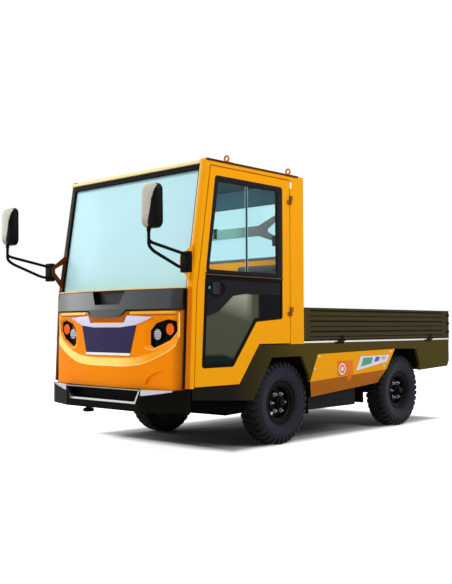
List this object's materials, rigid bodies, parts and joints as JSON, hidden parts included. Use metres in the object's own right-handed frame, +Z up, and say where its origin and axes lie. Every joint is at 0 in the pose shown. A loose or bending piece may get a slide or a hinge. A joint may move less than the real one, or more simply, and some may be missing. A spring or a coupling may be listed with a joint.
{
  "type": "airport baggage tug",
  "caption": "Electric platform tug with a flat-fronted two-door cab, dark side skirts, and a ribbed dropside bed with a towing jaw behind.",
  "frame": {"origin": "on the ground under the middle of the whole vehicle's box", "axes": "+Z up, front faces -Y, the vehicle's left side is +X"},
  "size_m": [1.902, 4.276, 2.249],
  "materials": {
    "chassis_black": "satin black paint",
    "cast_steel": "rough black casting",
    "tyre_rubber": "matt rubber",
    "rim_black": "satin black paint",
    "battery_case": "satin black paint",
    "body_yellow": "glossy paint",
    "nose_orange": "glossy moulding",
    "cover_red": "glossy moulding",
    "olive_skirt": "satin paint",
    "black_plastic": "grained black plastic",
    "cab_inner": "grained lining",
    "clear_glass": "tinted glass",
    "grey_brace": "satin paint",
    "seat_cloth": "woven cover",
    "plate_indigo": "glossy panel",
    "cowl_grey": "satin moulding",
    "lamp_clear": "fluted lens",
    "lamp_amber": "amber lens",
    "lamp_red": "red lens",
    "eye_orange": "painted steel",
    "deck_metal": "brushed sheet",
    "side_olive": "satin paint"
  },
  "bodies": {
    "root": {"chassis_frame": "chassis_black", "front_axle": "cast_steel", "rear_axle": "cast_steel", "drive_motor": "cast_steel", "leaf_springs": "chassis_black", "batteries": "battery_case", "battery_panels": "body_yellow", "charge_cover": "cover_red", "skirts": "olive_skirt", "arch_liners": "black_plastic", "sill_aprons": "black_plastic", "cab_frame": "body_yellow", "cab_floor": "cab_inner", "roof_panel": "body_yellow", "windscreen": "clear_glass", "rear_window": "clear_glass", "window_brace": "grey_brace", "dashboard": "black_plastic", "steering_wheel": "black_plastic", "seat_bases": "chassis_black", "seat_cushion_left": "seat_cloth", "seat_cushion_right": "seat_cloth", "seat_back_left": "seat_cloth", "seat_back_right": "seat_cloth", "fascia": "nose_orange", "front_plate": "plate_indigo", "cowl": "cowl_grey", "lamp_housings": "black_plastic", "clear_lamps": "lamp_clear", "amber_lamps": "lamp_amber", "front_bumper": "black_plastic", "mirror_arms": "black_plastic", "mirror_heads": "black_plastic", "lifting_eyes": "eye_orange", "deck": "deck_metal", "bed_frame": "chassis_black", "bed_posts": "side_olive", "rear_coupling": "chassis_black", "rear_lamps": "lamp_red"},
    "steer_left": {"knuckle_left": "cast_steel"},
    "steer_right": {"knuckle_right": "cast_steel"},
    "steer_rod": {"track_rod": "cast_steel"},
    "wheel_front_left": {"tyre_front_left": "tyre_rubber", "rim_front_left": "rim_black"},
    "wheel_front_right": {"tyre_front_right": "tyre_rubber", "rim_front_right": "rim_black"},
    "wheel_rear_left": {"tyre_rear_left": "tyre_rubber", "rim_rear_left": "rim_black"},
    "wheel_rear_right": {"tyre_rear_right": "tyre_rubber", "rim_rear_right": "rim_black"},
    "door_leaf_left": {"door_left": "body_yellow", "door_glass_left": "clear_glass"},
    "door_leaf_right": {"door_right": "body_yellow", "door_glass_right": "clear_glass"},
    "side_left": {"dropside_left": "side_olive"},
    "side_right": {"dropside_right": "side_olive"},
    "tail": {"tailgate": "side_olive"}
  },
  "joints": [
    {"name": "steer_left_turn", "type": "hinge", "parent": "root", "child": "steer_left", "pos_m": [0.572, -0.582, 0.338], "axis": [0, 0, 1], "range_deg": [-28, 28]},
    {"name": "steer_right_turn", "type": "hinge", "parent": "root", "child": "steer_right", "pos_m": [-0.572, -0.582, 0.338], "axis": [0, 0, 1], "range_deg": [-28, 28]},
    {"name": "steer_rod_turn", "type": "hinge", "parent": "steer_left", "child": "steer_rod", "pos_m": [0.572, -0.432, 0.2752], "axis": [0, 0, 1], "range_deg": [-28, 28]},
    {"name": "spin_front_left", "type": "hinge", "parent": "steer_left", "child": "wheel_front_left", "pos_m": [0.661, -0.582, 0.338], "axis": [1, 0, 0], "continuous": true},
    {"name": "spin_front_right", "type": "hinge", "parent": "steer_right", "child": "wheel_front_right", "pos_m": [-0.661, -0.582, 0.338], "axis": [1, 0, 0], "continuous": true},
    {"name": "spin_rear_left", "type": "hinge", "parent": "root", "child": "wheel_rear_left", "pos_m": [0.661, 1.208, 0.338], "axis": [1, 0, 0], "continuous": true},
    {"name": "spin_rear_right", "type": "hinge", "parent": "root", "child": "wheel_rear_right", "pos_m": [-0.661, 1.208, 0.338], "axis": [1, 0, 0], "continuous": true},
    {"name": "door_left_swing", "type": "hinge", "parent": "root", "child": "door_leaf_left", "pos_m": [0.816, -0.54, 1.5], "axis": [0, 0, 1], "range_deg": [0, 85]},
    {"name": "door_right_swing", "type": "hinge", "parent": "root", "child": "door_leaf_right", "pos_m": [-0.816, -0.54, 1.5], "axis": [0, 0, -1], "range_deg": [0, 85]},
    {"name": "side_left_drop", "type": "hinge", "parent": "root", "child": "side_left", "pos_m": [0.815, 0.868, 0.831], "axis": [0, 1, 0], "range_deg": [0, 180]},
    {"name": "side_right_drop", "type": "hinge", "parent": "root", "child": "side_right", "pos_m": [-0.815, 0.868, 0.831], "axis": [0, -1, 0], "range_deg": [0, 180]},
    {"name": "tail_drop", "type": "hinge", "parent": "root", "child": "tail", "pos_m": [0, 2.098, 0.831], "axis": [-1, 0, 0], "range_deg": [0, 180]}
  ],
  "couplings": [
    {"joint": "steer_right_turn", "follows": "steer_left_turn", "ratio": 1},
    {"joint": "steer_rod_turn", "follows": "steer_left_turn", "ratio": -1}
  ]
}
